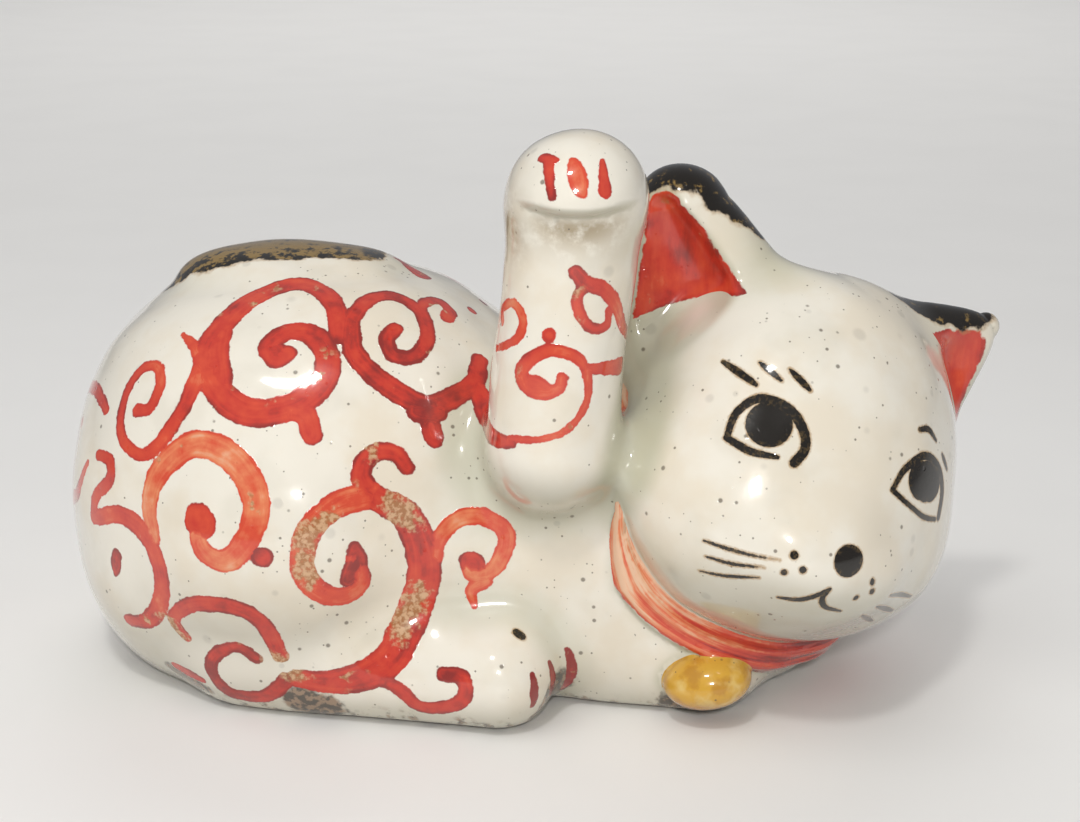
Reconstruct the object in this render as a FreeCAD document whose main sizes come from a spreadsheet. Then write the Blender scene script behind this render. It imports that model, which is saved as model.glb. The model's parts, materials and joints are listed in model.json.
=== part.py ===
import FreeCAD, Part
import os

# A reclining beckoning cat in glazed earthenware, about 200 mm long.  The potter presses the
# body and the head as hollow half shells, lutes them together with slip, closes the underside
# with a slab, and adds the limbs, the ears, the tail, the collar and the bell.
# X runs from the rump to the head, -Y is the cat's right flank, Z is up from the table, and the
# origin is the middle of the whole figure on the table.  Millimetres and degrees.

doc = FreeCAD.newDocument("beckoning_cat")
sheet = doc.addObject("Spreadsheet::Sheet", "Sizes")
next_row = 1


def cell(alias, value):
    """One driving dimension: its name in column A and its plain number in column B."""
    global next_row
    sheet.set("A%d" % next_row, alias)
    sheet.set("B%d" % next_row, str(value))
    sheet.setAlias("B%d" % next_row, alias)
    next_row += 1


def cells(prefix, endings, values):
    for ending, value in zip(endings.split(), values):
        cell(prefix + "_" + ending, value)


# Clay thicknesses and the joints between the pressings.
cell("wall", 5.0)
cell("slab", 6.0)
cell("body_seam_y", 4.0)
cell("head_seam_y", 3.0)
cell("vent_radius", 5.0)
cell("vent_x", 12.0)
cell("work_size", 400.0)

# Rounded masses: centre, half lengths along their own axes, and turn.
MASSES = {
    "rump": ((-47, 5, 34), (53, 48, 52), (0, 0, 0)),
    "flank": ((-12, 4, 30), (42, 43, 50), (0, 0, 0)),
    "chest": ((22.5, 2, 24), (51, 42, 44), (0, 0, 0)),
    "shoulder": ((21, -22, 10), (33, 17, 15), (-22, 0, 0)),
    "right_thigh": ((-50.5, -18, 36), (34, 31, 34), (0, 0, 0)),
    "left_thigh": ((-50.5, 26, 36), (34, 31, 34), (0, 0, 0)),
    "tail": ((-54.5, 9, 83), (22, 12, 6.5), (0, -2, 0)),
    "paw": ((9.5, -37, 109), (13.4, 14, 12.5), (0, 0, 0)),
    "bell": ((37.5, -42, 10), (9, 8, 7), (0, 0, 0)),
    "skull": ((54.5, -17, 53), (36, 33, 36), (30, 19, 2)),
}
for mass, (centre, half, turn) in MASSES.items():
    cells(mass, "x y z", centre)
    cells(mass, "rx ry rz", half)
    cells(mass, "yaw pitch roll", turn)

# Masses of the face, placed in the skull's own frame, where -Y looks out of the face.
FACE_MASSES = {
    "cheek": ((-3, -9, -14), (35.5, 28, 25.5)),
    "muzzle": ((-2, -28, -15), (15, 11, 11)),
}
for mass, (centre, half) in FACE_MASSES.items():
    cells(mass, "x y z", centre)
    cells(mass, "rx ry rz", half)

# Rolled limbs: where the roll starts, its length and heading, and its two end radii.
LIMBS = {
    "forearm": ((4.5, -38, 59), 45.4, (32, 7.1), (12.5, 12.8)),
    "resting_foreleg": ((18, 37, 10), 51, (-19, 90.5), (12, 10.5)),
    "right_hind_foot": ((-57.5, -27, 9), 52.6, (-14.3, 90.5), (13, 10.5)),
    "left_hind_foot": ((-57.5, 35, 9), 52.6, (14.3, 90.5), (13, 10.5)),
}
for limb, (start, length, heading, radii) in LIMBS.items():
    cells(limb, "x y z", start)
    cell(limb + "_len", length)
    cells(limb, "yaw pitch", heading)
    cells(limb, "start_radius end_radius", radii)

# Ears: middle of the root, height, turn, half width and half thickness, and radius of the tip.
EARS = {
    "right_ear": ((39.5, -17, 74), 28.1, (-3, -17.3, -9.3), (22, 12), 9),
    "left_ear": ((77.5, -10, 63), 22.1, (19.3, 67.4, 2), (20, 11), 3),
}
for ear, (root, height, turn, half, tip) in EARS.items():
    cells(ear, "x y z", root)
    cell(ear + "_tall", height)
    cells(ear, "yaw pitch roll", turn)
    cells(ear, "half_width half_thick", half)
    cell(ear + "_tip", tip)
cell("ear_sunk", 0.3)
cell("ear_middle", 0.55)
cell("ear_middle_taper", 0.53)
cell("recess_share", 0.66)
cell("recess_tip", 2.5)

# The collar: how far it stands out of the chest, and how wide it lies below the jaw.
cell("collar_thick", 2.4)
cell("collar_wide", 7.0)
doc.recompute()


def size(alias):
    return "Sizes." + alias


def place(position, turn=("0", "0", "0")):
    """A placement written as an expression: position, then yaw, pitch and roll."""
    return "create(<<placement>>; create(<<vector>>; %s; %s; %s); create(<<rotation>>; %s; %s; %s))" % (
        tuple(position) + tuple(turn)
    )


def named(prefix, endings):
    return [size(prefix + "_" + ending) for ending in endings.split()]


def add(kind, name, placement=None, **expressions):
    """A Part object whose sizes and placement are bound to the sheet."""
    item = doc.addObject("Part::" + kind, name)
    for prop, text in expressions.items():
        item.setExpression(prop, text)
    if placement:
        item.setExpression("Placement", placement)
    return item


def mass(prefix, name, grow="0", where=None):
    """An ellipsoid of the sheet, grown (or shrunk) all over by one amount."""
    half_x, half_y, half_z = named(prefix, "rx ry rz")
    where = where or place(named(prefix, "x y z"), named(prefix, "yaw pitch roll"))
    return add(
        "Ellipsoid",
        name,
        where,
        Radius1="%s + %s" % (half_z, grow),
        Radius2="%s + %s" % (half_x, grow),
        Radius3="%s + %s" % (half_y, grow),
    )


def fuse(name, shapes):
    item = doc.addObject("Part::MultiFuse", name)
    item.Shapes = shapes
    return item


def cut(name, base, tool):
    item = doc.addObject("Part::Cut", name)
    item.Base = base
    item.Tool = tool
    return item


def common(name, shapes):
    item = doc.addObject("Part::MultiCommon", name)
    item.Shapes = shapes
    return item


def block(name, low, sizes, frame=""):
    """A box from its low corner, in the figure's frame or behind another placement."""
    length, width, height = sizes
    return add("Box", name, frame + place(low), Length=length, Width=width, Height=height)


skull_frame = place(named("skull", "x y z"), named("skull", "yaw pitch roll"))
hollow_masses = ["rump", "flank", "chest", "right_thigh", "left_thigh"]
body_masses = hollow_masses + ["shoulder"]
half_work = size("work_size") + " / 2"
whole_work = [size("work_size")] * 3


def face_mass(prefix, name, grow="0"):
    return mass(prefix, name, grow, skull_frame + " * " + place(named(prefix, "x y z")))


# The space above the table, and the slab's share of it.
above_table = block("above_table", ["-" + half_work, "-" + half_work, "0"], whole_work)
slab_space = block(
    "slab_space",
    ["-" + half_work, "-" + half_work, "0"],
    [size("work_size"), size("work_size"), size("slab")],
)
above_slab = block("above_slab", ["-" + half_work, "-" + half_work, size("slab")], whole_work)

# Outsides and hollows of the body and of the head.
body_lump = fuse("body_lump", [mass(prefix, prefix + "_mass") for prefix in body_masses])
body_outside = common("body_outside", [body_lump, above_table])
hollow_lump = fuse(
    "hollow_lump",
    [mass(prefix, prefix + "_hollow", "-" + size("wall")) for prefix in hollow_masses],
)
body_hollow = common("body_hollow", [hollow_lump, above_slab])
head_outside = fuse(
    "head_outside",
    [mass("skull", "skull_mass"), face_mass("cheek", "cheek_mass"), face_mass("muzzle", "muzzle_mass")],
)
head_hollow = fuse(
    "head_hollow",
    [
        mass("skull", "skull_hollow", "-" + size("wall")),
        face_mass("cheek", "cheek_hollow", "-" + size("wall")),
    ],
)

# The body: a shell with an open neck, pressed as a right and a left half on top of the slab.
body_above = common("body_above", [body_outside, above_slab])
body_walls = cut("body_walls", cut("body_hollowed", body_above, body_hollow), head_outside)
right_side = block(
    "right_side",
    ["-" + half_work, size("body_seam_y") + " - " + size("work_size"), "-" + half_work],
    whole_work,
)
body_right_half = common("body_right_half", [body_walls, right_side])
body_left_half = cut("body_left_half", body_walls, right_side)

# The slab that closes the underside, with the hole that lets the kiln's steam out.
vent = add(
    "Cylinder",
    "vent",
    place([size("vent_x"), size("body_seam_y"), "-" + size("slab")]),
    Radius=size("vent_radius"),
    Height=size("slab") + " * 3",
)
base_slab = cut("base_slab", common("slab_blank", [body_outside, slab_space]), vent)

# The head: a shell open at the neck, pressed as a face half and a back half.
head_walls = cut("head_walls", cut("head_hollowed", head_outside, head_hollow), body_hollow)
face_side = block(
    "face_side",
    ["-" + half_work, size("head_seam_y") + " - " + size("work_size"), "-" + half_work],
    whole_work,
    skull_frame + " * ",
)
head_face_half = common("head_face_half", [head_walls, face_side])
head_back_half = cut("head_back_half", head_walls, face_side)


def fitted(name, blank, neighbours):
    """The blank with each neighbour's clay cut out of it in turn, so that they meet face to face."""
    for neighbour in neighbours[:-1]:
        blank = cut("%s_off_%s" % (name, neighbour.Name), blank, neighbour)
    return cut(name, blank, neighbours[-1])


# The collar lies in the crease between the jaw and the chest, all round the neck.
collar_chest = fuse(
    "collar_chest",
    [
        mass("chest", "collar_over_chest", size("collar_thick")),
        mass("shoulder", "collar_over_shoulder", size("collar_thick")),
    ],
)
collar_jaw = fuse(
    "collar_jaw",
    [
        mass("skull", "collar_off_skull", size("collar_wide")),
        face_mass("cheek", "collar_off_cheek", size("collar_wide")),
    ],
)
collar_ring = common("collar_ring", [collar_chest, collar_jaw, above_slab])
bell_blob = mass("bell", "bell_mass")
collar = fitted("collar", collar_ring, [body_outside, head_outside, bell_blob])
bell = fitted("bell", bell_blob, [body_outside, head_outside])


def limb(prefix, name):
    """A roll of clay with two round ends."""
    start = place(named(prefix, "x y z"), named(prefix, "yaw pitch") + ["0"])
    far_end = start + " * " + place(["0", "0", size(prefix + "_len")])
    first, last = named(prefix, "start_radius end_radius")
    roll = add("Cone", name + "_roll", start, Radius1=first, Radius2=last, Height=size(prefix + "_len"))
    near_end = add("Sphere", name + "_near_end", start, Radius=first)
    end = add("Sphere", name + "_far_end", far_end, Radius=last)
    return [roll, near_end, end]


# The raised right foreleg stands on the shoulder beside the jaw.
foreleg = fuse("foreleg", limb("forearm", "forearm") + [mass("paw", "paw_mass")])
neighbours = [body_outside, head_outside, collar]
raised_right_foreleg = fitted("raised_right_foreleg", foreleg, neighbours)

# The other three limbs lie on the table against the body.
resting = {
    "resting_left_foreleg": "resting_foreleg",
    "right_hind_foot": "right_hind_foot",
    "left_hind_foot": "left_hind_foot",
}
resting_limbs = []
for node, prefix in resting.items():
    lying = fuse(node + "_lump", limb(prefix, node))
    above = common(node + "_on_table", [lying, above_table])
    resting_limbs.append(fitted(node, above, neighbours))

tail = cut("tail", mass("tail", "tail_mass"), body_outside)


def ear_loft(prefix, name, share, forward, top):
    """A flattened cone: ellipses from the root up to a small round tip."""
    frame = place(named(prefix, "x y z"), named(prefix, "yaw pitch roll"))
    tall = size(prefix + "_tall")
    wide, thick = ["%s * %s" % (text, share) for text in named(prefix, "half_width half_thick")]
    levels = {
        "sunk": ("-%s * %s" % (tall, size("ear_sunk")), "1"),
        "middle": ("%s * %s" % (tall, size("ear_middle")), size("ear_middle_taper")),
        "tip": (tall, "0"),
    }
    sections = []
    for level, (height, spread) in levels.items():
        section = add(
            "Ellipse",
            name + "_" + level,
            frame + " * " + place(["0", forward, height]),
            MajorRadius="%s + (%s - %s) * %s" % (top, wide, top, spread),
            MinorRadius="%s + (%s - %s) * %s" % (top, thick, top, spread),
        )
        sections.append(section)
    loft = doc.addObject("Part::Loft", name)
    loft.Sections = sections
    loft.Solid = True
    return loft


ears = []
for ear in EARS:
    tip_frame = place(named(ear, "x y z"), named(ear, "yaw pitch roll")) + " * "
    tip_frame += place(["0", "0", size(ear + "_tall")])
    pinch = ear_loft(ear, ear + "_pinch", "1", "0", size(ear + "_tip"))
    tip = add("Sphere", ear + "_round_tip", tip_frame, Radius=size(ear + "_tip"))
    forward = "-" + size(ear + "_half_thick")
    hollow = ear_loft(ear, ear + "_hollow", size("recess_share"), forward, size("recess_tip"))
    solid = fuse(ear + "_solid", [pinch, tip])
    on_head = cut(ear + "_on_head", solid, head_outside)
    ears.append(cut(ear, on_head, hollow))
right_ear, left_ear = ears

doc.recompute()

NODES = [
    body_right_half,
    body_left_half,
    base_slab,
    head_face_half,
    head_back_half,
    right_ear,
    left_ear,
    raised_right_foreleg,
    *resting_limbs,
    tail,
    collar,
    bell,
]

for item in doc.Objects:
    bad = {"Invalid", "Error"} & set(item.State)
    if bad:
        raise RuntimeError("%s did not recompute: %s" % (item.Name, bad))
for node in NODES:
    if node.Shape.isNull() or not node.Shape.isValid() or not node.Shape.Solids:
        raise RuntimeError("%s has no valid solid" % node.Name)

os.makedirs("parts", exist_ok=True)
for node in NODES:
    node.Label = node.Name
    node.Shape.exportStep("parts/%s.step" % node.Label)
    box = node.Shape.optimalBoundingBox(True, False)
    print(
        "%-22s solids %d  volume %8.0f mm3  x %6.1f..%6.1f  y %6.1f..%6.1f  z %6.1f..%6.1f"
        % (
            node.Label,
            len(node.Shape.Solids),
            node.Shape.Volume,
            box.XMin,
            box.XMax,
            box.YMin,
            box.YMax,
            box.ZMin,
            box.ZMax,
        )
    )
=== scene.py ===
import json

import bpy
import numpy as np
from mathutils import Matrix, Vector


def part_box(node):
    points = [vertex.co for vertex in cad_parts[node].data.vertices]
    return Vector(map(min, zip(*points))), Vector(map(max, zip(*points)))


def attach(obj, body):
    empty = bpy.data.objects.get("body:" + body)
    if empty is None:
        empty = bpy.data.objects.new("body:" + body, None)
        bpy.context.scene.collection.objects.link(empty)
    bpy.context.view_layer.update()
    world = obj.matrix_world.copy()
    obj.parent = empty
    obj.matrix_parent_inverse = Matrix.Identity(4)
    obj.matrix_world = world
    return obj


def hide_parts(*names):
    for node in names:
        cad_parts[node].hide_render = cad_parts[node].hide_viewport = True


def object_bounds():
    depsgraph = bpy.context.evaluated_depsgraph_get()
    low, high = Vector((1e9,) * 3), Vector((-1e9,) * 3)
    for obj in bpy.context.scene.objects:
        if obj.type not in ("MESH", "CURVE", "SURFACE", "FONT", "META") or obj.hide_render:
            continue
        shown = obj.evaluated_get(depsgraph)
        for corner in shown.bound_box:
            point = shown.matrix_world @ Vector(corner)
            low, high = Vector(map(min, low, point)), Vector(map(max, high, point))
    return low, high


# A glazed, hand-painted cat lying down, modelled as hand-pressed clay: every mass is a distance
# field in millimetres, the fields are blended, meshed once, and cut along the potter's joints into
# one closed piece for each CAD node.  The brushwork is laid on as strokes that follow the surface.

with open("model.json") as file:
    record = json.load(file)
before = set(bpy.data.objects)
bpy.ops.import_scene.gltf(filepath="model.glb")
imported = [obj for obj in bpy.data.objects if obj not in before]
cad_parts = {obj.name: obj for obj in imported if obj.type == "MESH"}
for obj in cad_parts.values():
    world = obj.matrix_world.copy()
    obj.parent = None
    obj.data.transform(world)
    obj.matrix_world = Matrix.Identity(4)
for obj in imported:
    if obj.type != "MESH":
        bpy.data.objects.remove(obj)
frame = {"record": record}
cad_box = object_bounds()
MM = 1000.0


def corner(node, *offset):
    """The low corner of a CAD node in millimetres, with an offset from it."""
    return np.array(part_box(node)[0]) * MM + np.array(offset or (0, 0, 0), float)


def far_corner(node):
    return np.array(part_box(node)[1]) * MM


def length(rows):
    return np.linalg.norm(rows, axis=1)


def columns(*values):
    return np.stack(np.broadcast_arrays(*values), 1)


# ---------------- distance fields


def turn(yaw, pitch, roll):
    """Rotation matrix from yaw about Z, pitch about Y and roll about X, in degrees."""
    a, b, c = np.radians([yaw, pitch, roll])
    about_z = np.array([[np.cos(a), -np.sin(a), 0], [np.sin(a), np.cos(a), 0], [0, 0, 1]])
    about_y = np.array([[np.cos(b), 0, np.sin(b)], [0, 1, 0], [-np.sin(b), 0, np.cos(b)]])
    about_x = np.array([[1, 0, 0], [0, np.cos(c), -np.sin(c)], [0, np.sin(c), np.cos(c)]])
    return about_z @ about_y @ about_x


def ellipsoid(p, centre, half, axes=None):
    """Half sizes run along the columns of axes, or along X, Y and Z."""
    q = p - centre
    if axes is not None:
        q = q @ axes
    half = np.array(half, float)
    near = length(q / half)
    return near * (near - 1) / (length(q / half**2) + 1e-9)


def full_form(p, centre, half, below, power=2.4):
    """A rounded form fuller than an ellipsoid, with its own depth below the middle."""
    q = p - centre
    height = np.where(q[:, 2] > 0, half[2], below)
    halves = columns(half[0], half[1], height)
    a = np.abs(q / halves) + 1e-6
    size = (a**power).sum(1) ** (1 / power)
    steep = a ** (power - 1) / halves * (size ** (1 - power))[:, None]
    return (size - 1) / (length(steep) + 1e-6)


def roll_of_clay(p, start, end, start_radius, end_radius):
    """A round-ended roll that may taper."""
    along = end - start
    t = np.clip(((p - start) @ along) / (along @ along), 0, 1)
    radius = start_radius + (end_radius - start_radius) * t
    return length(p - start - t[:, None] * along) - radius


def join(a, b, blend):
    """Union of two fields with a soft fillet of about that width."""
    h = np.clip(0.5 + 0.5 * (b - a) / blend, 0, 1)
    return b + (a - b) * h - blend * h * (1 - h)


def trim(a, b, blend):
    """Keeps of a what lies inside b, with a soft edge."""
    return -join(-a, -b, blend)


def pinched(p, root, tip, front, wide, thick, tip_radius):
    """A flattened cone of clay from its root to a rounded tip; front is the way it faces."""
    up = tip - root
    tall = np.linalg.norm(up)
    up = up / tall
    face = front - up * (front @ up)
    face = face / np.linalg.norm(face)
    side = np.cross(up, face)
    q = p - root
    height = q @ up
    k = (1 - np.clip(height / tall, 0, 1)) ** 0.8
    half_wide = tip_radius + (wide - tip_radius) * k
    half_thick = tip_radius + (thick - tip_radius) * k
    flat = np.sqrt((q @ side / half_wide) ** 2 + (q @ face / half_thick) ** 2)
    over = np.maximum(height - tall, 0) / tip_radius + np.maximum(-height - 0.25 * tall, 0) / wide
    return (np.sqrt(flat**2 + over**2) - 1) * np.minimum(half_wide, half_thick) * 0.8


# ---------------- the cat's masses, from the frame

BODY = np.array([corner("body_left_half")[0], corner("body_right_half")[1], corner("base_slab")[2]])
HEAD = corner("head_face_half")
SLAB_TOP = far_corner("base_slab")[2]
BODY_SEAM = far_corner("body_right_half")[1]
SKULL = HEAD + (35.3, 40.9, 39.3)
SKULL_AXES = turn(30, 19, 2)
ELBOW = corner("raised_right_foreleg", 12.5, 13.0, 12.5)
KNUCKLES = ELBOW + (5.0, 1.0, 50.0)
EARS = {
    "right_ear": dict(
        root=corner("right_ear", 20.1, 8.2, 11.9),
        tip=corner("right_ear", 12.1, 13.2, 38.4),
        front=np.array([-0.1, -1.0, 0.15]),
        wide=22,
        thick=12,
        tip_radius=9,
    ),
    "left_ear": dict(
        root=corner("left_ear", 0.1, 7.0, 11.9),
        tip=corner("left_ear", 20.8, 13.0, 22.6),
        front=np.array([0.35, -1.0, 0.0]),
        wide=20,
        thick=11,
        tip_radius=3,
    ),
}


def on_face(x, y, z):
    """A point given in the skull's own frame, where -Y looks out of the face."""
    return SKULL + SKULL_AXES @ np.array([x, y, z], float)


RUMP = dict(centre=BODY + (53, 54, 34), half=(53, 48, 52), below=46)
CHEST = dict(centre=BODY + (122.5, 51, 24), half=(51, 42, 44), below=34)
HAUNCHES = [BODY + (49.5, 31, 36), BODY + (49.5, 75, 36)]
HAUNCH_HALF = (34, 31, 34)
SHOULDER = dict(start=BODY + (104.5, 32, 10), end=BODY + (136.5, 18, 9), start_radius=14, end_radius=12)
HEEL = BODY + (42.5, 22, 9)
TOES = BODY + (93.5, 9, 8.5)
FOOT_BLEND = 8
ARM_BLEND = 10


def across_body(place):
    """The same place on the other side of the body's seam."""
    return place * (1, -1, 1) + (0, 2 * BODY_SEAM, 0)


def body_field(p):
    d = join(full_form(p, **RUMP), full_form(p, **CHEST), 16)
    for haunch in HAUNCHES:
        d = join(d, ellipsoid(p, haunch, HAUNCH_HALF), 3)
    return join(d, roll_of_clay(p, **SHOULDER), 8)


def foot_field(p, far):
    heel, toes = HEEL, TOES + (0, 0, 1.2)
    if far:
        heel, toes = across_body(heel), across_body(toes)
    return roll_of_clay(p, heel, toes, 13, 11.6)


def foreleg_field(p):
    return roll_of_clay(p, BODY + (118, 86, 10), BODY + (166.2, 69.4, 9.6), 12, 10.5)


def tail_field(p):
    return ellipsoid(p, corner("tail", 23, 11.6, 3.2), (21, 12, 6.2), turn(0, -2, 0))


PAD_BELOW_KNUCKLES = 2.4
PAD_SAG = 0.014
PAD_HALF_WIDE = 10
PAD_STEP = 2.9


def under_pad(p):
    """Height above the lower edge of the paw's pad, and how far a point is round to its front."""
    across = p[:, 0] - KNUCKLES[0]
    front = np.clip((KNUCKLES[1] - 5 - p[:, 1]) / 7, 0, 1)
    above = p[:, 2] - KNUCKLES[2] + PAD_BELOW_KNUCKLES - PAD_SAG * across**2
    return above, front * np.exp(-((across / PAD_HALF_WIDE) ** 4))


def arm_field(p):
    d = roll_of_clay(p, ELBOW, ELBOW + (4.8, 3, 45), 12.8, 12.8)
    d = join(d, ellipsoid(p, KNUCKLES + (0, -0.8, 0.4), (13.3, 14.4, 12.3)), 5)
    pad, amount = under_pad(p)
    return d + PAD_STEP * amount * np.exp(-((pad / np.where(pad > 0, 1.3, 6.0)) ** 2))


# Cheeks, muzzle and nose: centre, half sizes and the blend into what is there.
FACE_FORMS = [
    (on_face(-2, -9, -14), (36.5, 28, 25.5), 10),
    (on_face(-8, -30, -16), (15, 11, 10.5), 9),
    (on_face(-10.5, -38.3, -13.6), (3.6, 2.2, 3.0), 1.5),
]


def skull_field(p):
    d = ellipsoid(p, SKULL, (36, 33, 36), SKULL_AXES)
    for centre, half, blend in FACE_FORMS:
        d = join(d, ellipsoid(p, centre, half, SKULL_AXES), blend)
    return d


SCOOPS = {
    "right_ear": dict(
        root=corner("right_ear", 12.4, -0.5, 21.0),
        tip=corner("right_ear", 7.8, 5.0, 40.5),
        front=EARS["right_ear"]["front"],
        wide=11.5,
        thick=8.5,
        tip_radius=3.0,
    ),
    "left_ear": dict(
        root=corner("left_ear", 4.6, -2.0, 9.6),
        tip=corner("left_ear", 20.6, 5.6, 22.2),
        front=EARS["left_ear"]["front"],
        wide=14.5,
        thick=8.0,
        tip_radius=1.9,
    ),
}


def recess_field(p, ear):
    return pinched(p, **SCOOPS[ear])


def ear_field(p, ear):
    d = pinched(p, **EARS[ear])
    if ear == "right_ear":
        tip = EARS[ear]["tip"]
        d = join(d, roll_of_clay(p, tip, tip + (14.5, -1, -14.5), 8.8, 6.2), 3)
    return trim(d, -recess_field(p, ear), 2)


def bell_field(p):
    return ellipsoid(p, corner("bell", 8.2, 8, 6.6), (9.4, 8, 6.1), turn(0, -8, 0))


COLLAR_WIDE = 3.7
COLLAR_THICK = 2.3
GROOVE_DEPTH = 0.45
NECK_RADIUS = 40.0


def collar_across(p, jaw):
    """Where a point lies across the band: -1 at the jaw's edge, 1 at the chest's edge."""
    rising = np.clip((p[:, 2] - SKULL[2] + 24) / 16, 0, 1)
    front = np.clip((SKULL[1] - p[:, 1]) / 12, 0, 1)
    wide = COLLAR_WIDE * (1 - 0.75 * (rising * front))
    return (jaw - 0.85 * wide) / wide


def round_neck(p):
    """How far along the band a point lies, in millimetres."""
    return NECK_RADIUS * np.arctan2(p[:, 2] - SKULL[2] - 8, p[:, 0] - SKULL[0] - 4)


def collar_grooves(p, jaw):
    """The strands pressed into the band: 1 on a strand, 0 in the groove beside it."""
    sway = 0.22 * np.sin(round_neck(p) * 0.16)
    return 0.5 + 0.5 * np.cos(2 * np.pi * (collar_across(p, jaw) * 1.2 + sway))


def collar_field(p, body, jaw):
    d = (np.sqrt((body / COLLAR_THICK) ** 2 + collar_across(p, jaw) ** 2) - 1) * COLLAR_THICK
    return d - GROOVE_DEPTH * collar_grooves(p, jaw)


def unevenness(p):
    """The slight waviness that hands and a worn mould leave, in millimetres."""
    a = np.sin(p[:, 0] * 0.11 + 1.3 * np.sin(p[:, 2] * 0.07)) * np.cos(p[:, 2] * 0.13 + p[:, 1] * 0.09)
    b = np.sin(p[:, 0] * 0.27 + p[:, 1] * 0.31 + 2.0) * np.sin(p[:, 2] * 0.25 - 1.0)
    return 0.32 * a + 0.12 * b


def masses(p):
    """The field of each part of the figure, before the parts are blended into each other."""
    return {
        "body": body_field(p),
        "head": skull_field(p),
        "right_ear": ear_field(p, "right_ear"),
        "left_ear": ear_field(p, "left_ear"),
        "raised_right_foreleg": arm_field(p),
        "resting_left_foreleg": foreleg_field(p),
        "right_hind_foot": foot_field(p, False),
        "left_hind_foot": foot_field(p, True),
        "tail": tail_field(p),
        "bell": bell_field(p),
    }


SEAM_BLEND = 0.8
FOOT_ROUNDING = 2.5


def clay(p, m=None):
    """The whole figure, its parts luted together and its foot flat on the floor."""
    m = m or masses(p)
    body = m["body"]
    for foot in ("right_hind_foot", "left_hind_foot"):
        body = join(body, m[foot], FOOT_BLEND)
    body = join(body, m["resting_left_foreleg"], 4)
    body = join(body, m["tail"], 9)
    head = join(m["head"], np.minimum(m["right_ear"], m["left_ear"]), 5)
    d = join(body, head, 3.5)
    d = join(d, m["raised_right_foreleg"], ARM_BLEND)
    d = join(d, collar_field(p, m["body"], m["head"]), SEAM_BLEND)
    d = join(d, m["bell"], SEAM_BLEND) + unevenness(p)
    return trim(d, -p[:, 2], FOOT_ROUNDING)


# ---------------- meshing

STEP = 1.0
BLOCK = 5


def slope(p, field, reach=0.25):
    g = np.empty_like(p)
    for axis in range(3):
        step = np.zeros(3)
        step[axis] = reach
        g[:, axis] = (field(p + step) - field(p - step)) / (2 * reach)
    return g


def settle(p, field, rounds=2):
    """Moves points onto the surface along the field's slope."""
    for _ in range(rounds):
        g = slope(p, field)
        p = p - g * (field(p) / np.maximum((g**2).sum(1), 0.2))[:, None]
    return p


def in_chunks(p, field, chunk=200000):
    return np.concatenate([field(p[i : i + chunk]) for i in range(0, len(p), chunk)])


def grid_points(low, shape, step):
    axes = [low[i] + step * np.arange(shape[i]) for i in range(3)]
    return np.stack(np.meshgrid(*axes, indexing="ij"), -1)


def sampled(field, low, high, step):
    """The field on a grid, worked out in full only in the blocks that the surface may cross."""
    coarse_step = step * BLOCK
    coarse_shape = np.ceil((high - low) / coarse_step).astype(int) + 2
    coarse = grid_points(low, coarse_shape, coarse_step)
    rough = in_chunks(coarse.reshape(-1, 3), field).reshape(coarse_shape)
    fine = np.repeat(np.repeat(np.repeat(rough, BLOCK, 0), BLOCK, 1), BLOCK, 2)
    near = np.abs(fine) < coarse_step * 2.2
    points = grid_points(low, np.array(fine.shape), step)
    fine[near] = in_chunks(points[near], field)
    return fine


def surface_net(values, low, step):
    """A quad mesh of the zero level: one vertex for each cell that the surface crosses."""
    inside = values < 0
    corners = [(i, j, k) for i in (0, 1) for j in (0, 1) for k in (0, 1)]
    shape = np.array(values.shape) - 1

    def at(grid, offset):
        i, j, k = offset
        return grid[i : i + shape[0], j : j + shape[1], k : k + shape[2]]

    count = sum(at(inside, c).astype(np.int8) for c in corners)
    cells = np.argwhere((count > 0) & (count < 8))
    index = -np.ones(shape, int)
    index[tuple(cells.T)] = np.arange(len(cells))
    total = np.zeros((len(cells), 3))
    hits = np.zeros(len(cells))
    for a in corners:
        for axis in range(3):
            if a[axis]:
                continue
            b = tuple(v + (n == axis) for n, v in enumerate(a))
            va = values[tuple((cells + a).T)]
            vb = values[tuple((cells + b).T)]
            cross = (va < 0) != (vb < 0)
            t = np.where(cross, va / np.where(cross, va - vb, 1), 0)
            total += cross[:, None] * (np.array(a) + t[:, None] * (np.array(b) - a))
            hits += cross
    vertices = low + (cells + total / hits[:, None]) * step
    quads = []
    for axis in range(3):
        u, v = (axis + 1) % 3, (axis + 2) % 3
        ahead = np.roll(inside, -1, axis)
        crossing = inside != ahead
        edge = np.argwhere(crossing)
        edge = edge[(edge[:, u] > 0) & (edge[:, v] > 0)]
        eu, ev = np.eye(3, dtype=int)[u], np.eye(3, dtype=int)[v]
        ring = [index[tuple((edge - s).T)] for s in (0 * eu, eu, eu + ev, ev)]
        ring = np.stack(ring, 1)
        outward = inside[tuple(edge.T)]
        ring[~outward] = ring[~outward][:, ::-1]
        quads.append(ring)
    return vertices, np.concatenate(quads)


def triangles(vertices, quads):
    """Splits each quad along its shorter diagonal."""
    a, b, c, d = (vertices[quads[:, i]] for i in range(4))
    short = length(a - c) < length(b - d)
    first = np.where(short[:, None], quads[:, [0, 1, 2]], quads[:, [0, 1, 3]])
    second = np.where(short[:, None], quads[:, [0, 2, 3]], quads[:, [1, 2, 3]])
    return np.concatenate([first, second])


def compact(vertices, faces):
    used, faces = np.unique(faces, return_inverse=True)
    return vertices[used], faces.reshape(-1, 3)


def face_edges(faces):
    """The three edges of each triangle, each as its start and end."""
    return np.stack([faces[:, [0, 1]], faces[:, [1, 2]], faces[:, [2, 0]]], 1)


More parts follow.
